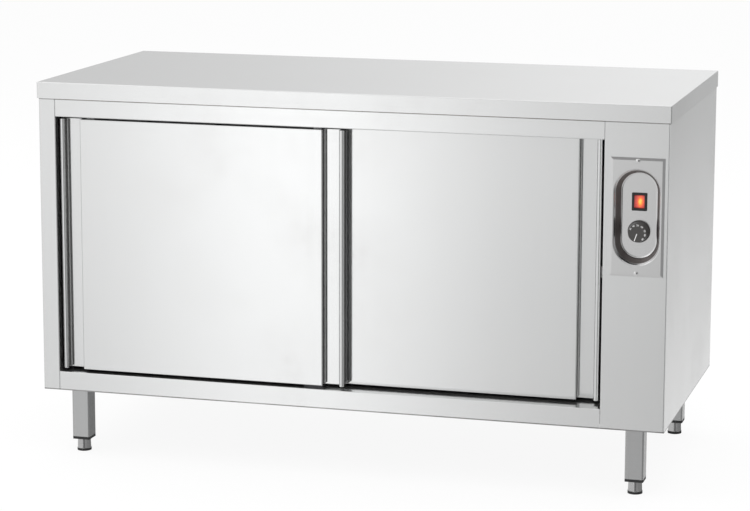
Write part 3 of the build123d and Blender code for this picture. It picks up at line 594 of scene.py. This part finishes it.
def litLens(name):
    # the lamp behind the lens is a soft upright ball: yellow in the middle, red towards the corners
    mat, tree = newTree(name)
    low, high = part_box("switch_rocker")
    right, up = rockerGlow["lampAt"]
    lamp = ((low[0] + high[0]) / 2 + right, low[1], (low[2] + high[2]) / 2 + up)
    away = vectorCalc(tree, "SUBTRACT", objectPlace(tree), lamp)
    shaped = vectorCalc(tree, "MULTIPLY", away, rockerGlow["lampShape"])
    reach = vectorCalc(tree, "LENGTH", shaped, (0, 0, 0), "Value")
    mottle = noise(tree, objectPlace(tree), rockerGlow["mottleSize"], 2.0)
    near = remap(tree, reach, 0.0, rockerGlow["lampReach"], 1, 0)
    near = calc(tree, "ADD", near, fromNoise(tree, mottle, -rockerGlow["mottle"], rockerGlow["mottle"]))
    glow = rockerGlow["edge"]
    for colour, start, full in rockerGlow["inwards"]:
        glow = mixColour(tree, remap(tree, near, start, full, 0, 1), glow, colour)
    return finishMaterial(
        mat, tree, Base_Color=rockerGlow["lens"], Roughness=rockerGlow["rough"], Emission_Color=glow,
        Emission_Strength=rockerGlow["strength"],
        Normal=bumpNormal(tree, mottle, rockerGlow["mottleDepth"], rockerGlow["mottleStrength"]),
    )


# which finish each node wears

finishes = {
    "dishSteel": pressedPlate("dishSteel"),
    "galvanised": galvanisedSheet("galvanised"),
    "nylon": nylon("nylon"),
    "mineralWool": mineralWool("mineralWool"),
    "coreBoard": coreBoard("coreBoard"),
    "heatTinted": heatTintedTube("heatTinted"),
    "litLens": litLens("litLens"),
    "footMetal": footMetal("footMetal"),
}
finishes.update({name: brushedSteel(name, **settings) for name, settings in steels.items()})
finishes.update({name: zincPlate(name, **settings) for name, settings in zincHeads.items()})
finishes.update({name: mouldedPlastic(name, **settings) for name, settings in plastics.items()})

wornBy = {
    "worktopSteel": ["worktop"],
    "railSteel": ["top_rail", "bottom_rail"],
    "panelSteel": ["left_side_panel", "right_side_panel", "control_column", "back_panel"],
    "frontDoorSteel": ["left_door_shell", "left_door_back"],
    "rearDoorSteel": ["right_door_shell", "right_door_back"],
    "dishSteel": ["control_plate"],
    "liningSteel": [
        "left_liner", "right_liner", "back_liner", "chamber_floor", "chamber_ceiling",
        "shelf", "shelf_angles",
    ],
    "legSteel": ["leg_front_left", "leg_front_right", "leg_rear_left", "leg_rear_right"],
    "galvanised": [
        "base_tray", "door_track", "left_door_hangers", "right_door_hangers",
        "fan_duct", "impeller", "fan_motor",
    ],
    "zincScrew": ["leg_bolts"],
    "domedScrew": ["plate_screws"],
    "blackPlastic": ["switch_body", "leg_end_caps", "cable_gland", "terminal_block", "thermostat"],
    "knobPlastic": ["control_knob"],
    "rubber": ["door_stops"],
    "nylon": ["left_outer_roller", "left_inner_roller", "right_outer_roller", "right_inner_roller"],
    "guidePlastic": ["floor_guide"],
    "mineralWool": [
        "left_insulation", "partition_insulation", "back_insulation", "floor_insulation",
        "ceiling_insulation", "left_door_core", "right_door_core",
    ],
    "coreBoard": ["worktop_core"],
    "heatTinted": ["heating_element"],
    "litLens": ["switch_rocker"],
    "footMetal": ["foot_front_left", "foot_front_right", "foot_rear_left", "foot_rear_right"],
}

for finish, names in wornBy.items():
    for name in names:
        nodes[name].data.materials.clear()
        nodes[name].data.materials.append(finishes[finish])
print("finishes set on", sum(len(names) for names in wornBy.values()), "nodes")


# dial marks: numerals and index line, riding on the knob

dial = {
    "numerals": ["30", "40", "50", "60", "70", "80", "90"],
    "angles": [150, 118, 88, 54, 20, -11, -45],
    "ring": 16.4 * mm,
    "size": 5.2 * mm,
    "thickness": 0.12 * mm,
    "weld": 0.001 * mm,
    "indexAngle": -109,
    "indexFrom": 1.5 * mm,
    "indexTo": 17.5 * mm,
    "indexWidth": 1.5 * mm,
    "indexProud": 0.05 * mm,
    "indexDeep": 0.4 * mm,
    "tones": (0.82, 0.94),
    "cloud": 900.0,
    "rough": 0.5,
}


def paintWhite(name):
    mat, tree = newTree(name)
    cloud = noise(tree, objectPlace(tree), dial["cloud"], 2.0)
    dark, light = (grey(tone) for tone in dial["tones"])
    shade = mixColour(tree, cloud, dark, light)
    return finishMaterial(mat, tree, Base_Color=shade, Roughness=dial["rough"])


def knobFace():
    low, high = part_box("control_knob")
    return Vector(((low[0] + high[0]) / 2, low[1], (low[2] + high[2]) / 2))


def addPiece(mesh, material, body):
    mesh.materials.append(material)
    mesh.update()
    piece = bpy.data.objects.new(mesh.name, mesh)
    bpy.context.scene.collection.objects.link(piece)
    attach(piece, body)


def numeralMesh(word):
    curve = bpy.data.curves.new("numeral", "FONT")
    curve.body = word
    curve.size = dial["size"]
    curve.align_x = "CENTER"
    curve.align_y = "CENTER"
    curve.extrude = dial["thickness"] / 2
    holder = bpy.data.objects.new("numeral", curve)
    mesh = bpy.data.meshes.new_from_object(holder)
    bpy.data.objects.remove(holder)
    bpy.data.curves.remove(curve)
    return mesh


def makeNumerals(material):
    # each numeral is a text outline made a mesh, turned to its angle on the ring, then joined to the others
    joined = bmesh.new()
    for word, degrees in zip(dial["numerals"], dial["angles"]):
        angle = math.radians(degrees)
        outwards = Vector((math.cos(angle), 0, math.sin(angle)))
        along = Vector((math.sin(angle), 0, -math.cos(angle)))
        turn = Matrix((along, outwards, Vector((0, -1, 0)))).transposed().to_4x4()
        mesh = numeralMesh(word)
        mesh.transform(Matrix.Translation(knobFace() + outwards * dial["ring"]) @ turn)
        joined.from_mesh(mesh)
        bpy.data.meshes.remove(mesh)
    bmesh.ops.remove_doubles(joined, verts=joined.verts, dist=dial["weld"])
    mesh = bpy.data.meshes.new("dial_numerals")
    joined.to_mesh(mesh)
    joined.free()
    addPiece(mesh, material, "knob")


def makeIndexLine(material):
    # a thin bar filling the groove of the knob's face: its corners are steps outwards and sideways
    # from the middle of the face
    angle = math.radians(dial["indexAngle"])
    outwards = np.array([math.cos(angle), 0, math.sin(angle)])
    side = np.array([-math.sin(angle), 0, math.cos(angle)])
    reaches, halves = (dial["indexFrom"], dial["indexTo"]), (-0.5, 0.5)
    steps = np.array([(reach, half) for reach in reaches for half in halves])
    flat = np.array(knobFace()) + steps[:, :1] * outwards + steps[:, 1:] * dial["indexWidth"] * side
    top = flat - np.array([0, dial["indexProud"], 0])
    bottom = top + np.array([0, dial["indexDeep"], 0])
    faces = [(0, 2, 3, 1), (4, 5, 7, 6), (0, 1, 5, 4), (2, 6, 7, 3), (0, 4, 6, 2), (1, 3, 7, 5)]
    mesh = bpy.data.meshes.new("dial_index")
    mesh.from_pydata(np.vstack([top, bottom]).tolist(), [], faces)
    addPiece(mesh, material, "knob")


dialWhite = paintWhite("dialWhite")
makeNumerals(dialWhite)
makeIndexLine(dialWhite)
print("dial marks made")


# floor

ground = {
    "size": 30.0,
    "tone": 1.0,
    "shadowShare": 0.1,            # how much of its look is lit, and so takes the shadow
    "mirroredShare": 0.02,         # the same for what the steel mirrors
}


def seenInMirrors(tree, path):
    return calc(tree, "MAXIMUM", path["Is Glossy Ray"], path["Is Transmission Ray"])


def makeFloor():
    half = ground["size"] / 2
    mesh = bpy.data.meshes.new("floor")
    corners = [(-half, -half, 0), (half, -half, 0), (half, half, 0), (-half, half, 0)]
    mesh.from_pydata(corners, [], [(0, 1, 2, 3)])
    mat, tree = newTree("paleFloor")
    lit = addNode(tree, "ShaderNodeBsdfDiffuse", {"Color": grey(ground["tone"])}).outputs[0]
    white = addNode(tree, "ShaderNodeEmission", {"Color": grey(1.0), "Strength": 1.0}).outputs[0]
    path = addNode(tree, "ShaderNodeLightPath").outputs
    whiteShare = calc(tree, "MULTIPLY", path["Is Camera Ray"], 1 - ground["shadowShare"])
    seen = addNode(tree, "ShaderNodeMixShader", {0: whiteShare, 1: lit, 2: white}).outputs[0]
    # metal and glass mirror the room's own tones below the horizon, under a little of the floor's shadow
    clear = addNode(tree, "ShaderNodeBsdfTransparent").outputs[0]
    clearShare = calc(tree, "MULTIPLY", seenInMirrors(tree, path), 1 - ground["mirroredShare"])
    both = addNode(tree, "ShaderNodeMixShader", {0: clearShare, 1: seen, 2: clear}).outputs[0]
    addNode(tree, "ShaderNodeOutputMaterial", {"Surface": both})
    mesh.materials.append(mat)
    floor = bpy.data.objects.new("floor", mesh)
    bpy.context.scene.collection.objects.link(floor)


# the room that the steel mirrors, and the soft fill that it gives

room = {
    "fill": 0.76,                  # what the room gives to everything that isn't a mirror
    "brightest": 1.5,
    # degrees from straight in front towards +X, and how bright the room is there
    "around": [
        (-180, 0.80), (-171, 0.86), (-165, 0.73), (-158, 0.60), (-120, 0.62), (-60, 0.84),
        (-28, 0.72), (-24, 0.78), (-22.4, 0.80), (-20.6, 1.02), (-18.6, 1.27), (-17.4, 1.32),
        (-16.4, 1.26), (-14.3, 0.89), (-12.2, 0.70), (-9, 0.66), (-5, 0.44), (4, 0.26),
        (12, 0.03), (22, 0.02), (26, 0.14), (28.5, 0.38), (33, 0.40), (46, 0.40), (60, 0.28),
        (100, 0.28), (157, 0.15), (169, 0.46), (171.4, 0.76), (180, 0.80),
    ],
    # below, most pairs are places on a sphere of radius 1, where a change starts and where it is full
    "belowFrom": (0.0, -0.05),
    "under": (-0.13, -0.25),       # two heights under the horizon
    "behindFrom": (-0.1, 0.1),
    "underBehind": (0.74, 1.2),    # what the room behind is multiplied by at those two heights
    "underBefore": (1.02, 0.84),   # and the room in front
    "upperFrom": (0.1, 0.5),       # over these heights the front of the room turns to its upper tones
    "frontUntil": (-0.3, 0.1),
    "leftToRight": (-0.5, -0.2),
    "upperLeft": 1.1,
    "upperRight": 0.26,
    "overheadFrom": (0.5, 0.8),
    "overhead": 0.12,              # round the lamp, which adds its own
    "lowFrom": (-0.28, -0.4),
    "low": 0.6,                    # straight down, well under what the room's walls reach
}


def roundTheHorizon(tree, part):
    bearing = calc(tree, "ARCTAN2", part["X"], calc(tree, "MULTIPLY", part["Y"], -1.0))
    ramp = addNode(tree, "ShaderNodeValToRGB", {"Fac": remap(tree, bearing, -math.pi, math.pi, 0, 1)})
    stops = ramp.color_ramp.elements
    for index, (degrees, tone) in enumerate(room["around"]):
        place = (degrees + 180) / 360
        stop = stops[index] if index < 2 else stops.new(place)
        stop.position = place
        stop.color = grey(tone / room["brightest"])
    return mixColour(tree, 1.0, ramp.outputs["Color"], grey(room["brightest"]), "MULTIPLY")


def underTheHorizon(tree, part, level):
    isBehind = remap(tree, part["Y"], *room["behindFrom"], 0, 1)
    near = mixNumber(tree, isBehind, room["underBefore"][0], room["underBehind"][0])
    far = mixNumber(tree, isBehind, room["underBefore"][1], room["underBehind"][1])
    fall = mixNumber(tree, remap(tree, part["Z"], *room["under"], 0, 1), near, far)
    isBelow = remap(tree, part["Z"], *room["belowFrom"], 0, 1)
    return mixColour(tree, isBelow, level, scaleColour(tree, level, fall))


def overTheHorizon(tree, part, level):
    isUpper = remap(tree, part["Z"], *room["upperFrom"], 0, 1)
    isFront = remap(tree, part["Y"], *room["frontUntil"], 1, 0)
    side = remap(tree, part["X"], *room["leftToRight"], room["upperLeft"], room["upperRight"])
    upper = scaleColour(tree, grey(1.0), side)
    return mixColour(tree, calc(tree, "MULTIPLY", isUpper, isFront), level, upper)


def makeWorld():
    world = bpy.data.worlds.new("studio")
    world.use_nodes = True
    tree = world.node_tree
    tree.nodes.clear()
    part = axesOf(tree, addNode(tree, "ShaderNodeTexCoord").outputs["Generated"])
    level = roundTheHorizon(tree, part)
    level = underTheHorizon(tree, part, level)
    level = overTheHorizon(tree, part, level)
    for start, tone in (("overheadFrom", "overhead"), ("lowFrom", "low")):
        level = mixColour(tree, remap(tree, part["Z"], *room[start], 0, 1), level, grey(room[tone]))
    path = addNode(tree, "ShaderNodeLightPath").outputs
    colour = mixColour(tree, seenInMirrors(tree, path), grey(room["fill"]), level)
    colour = mixColour(tree, path["Is Camera Ray"], colour, grey(1.0))
    shade = addNode(tree, "ShaderNodeBackground", {"Color": colour, "Strength": 1.0}).outputs[0]
    addNode(tree, "ShaderNodeOutputWorld", {"Surface": shade})
    bpy.context.scene.world = world


# lamp

topBox = {
    "at": (-0.6, -0.6, 4.2),
    "aim": (-0.6, -0.6, 0),
    "size": 8.0,
    "watts": 175,
}


def makeLamp():
    lamp = bpy.data.lights.new("topBox", "AREA")
    lamp.size = topBox["size"]
    lamp.energy = topBox["watts"]
    holder = bpy.data.objects.new("topBox", lamp)
    holder.location = topBox["at"]
    aim = Vector(topBox["aim"]) - Vector(topBox["at"])
    holder.rotation_euler = aim.to_track_quat("-Z", "Y").to_euler()
    holder.visible_camera = False
    bpy.context.scene.collection.objects.link(holder)


# camera

camera = {
    "at": (1.5269, -5.4678, 1.5202),
    "yaw": 0.2735,                 # towards -X, in radians
    "pitch": 0.1715,               # downwards
    "roll": 0.0029,
    "lens": 122.66,
    "shift": (-0.0084, -0.0612),
    "farthest": 60,
}


def makeCamera():
    yaw, pitch, roll = camera["yaw"], camera["pitch"], camera["roll"]
    skywards = Vector((0, 0, 1))
    level = Vector((-math.sin(yaw), math.cos(yaw), 0))
    right = Vector((math.cos(yaw), math.sin(yaw), 0))
    forward = level * math.cos(pitch) - skywards * math.sin(pitch)
    up = skywards * math.cos(pitch) + level * math.sin(pitch)
    side = right * math.cos(roll) + up * math.sin(roll)
    top = up * math.cos(roll) - right * math.sin(roll)
    view = bpy.data.cameras.new("camera")
    view.lens = camera["lens"]
    view.shift_x, view.shift_y = camera["shift"]
    view.clip_end = camera["farthest"]
    holder = bpy.data.objects.new("camera", view)
    turn = Matrix((side, top, -forward)).transposed().to_4x4()
    holder.matrix_world = Matrix.Translation(camera["at"]) @ turn
    bpy.context.scene.collection.objects.link(holder)
    bpy.context.scene.camera = holder


makeFloor()
makeWorld()
makeLamp()
makeCamera()
bpy.context.scene.view_settings.view_transform = "Standard"
print("floor, room, lamp and camera set")
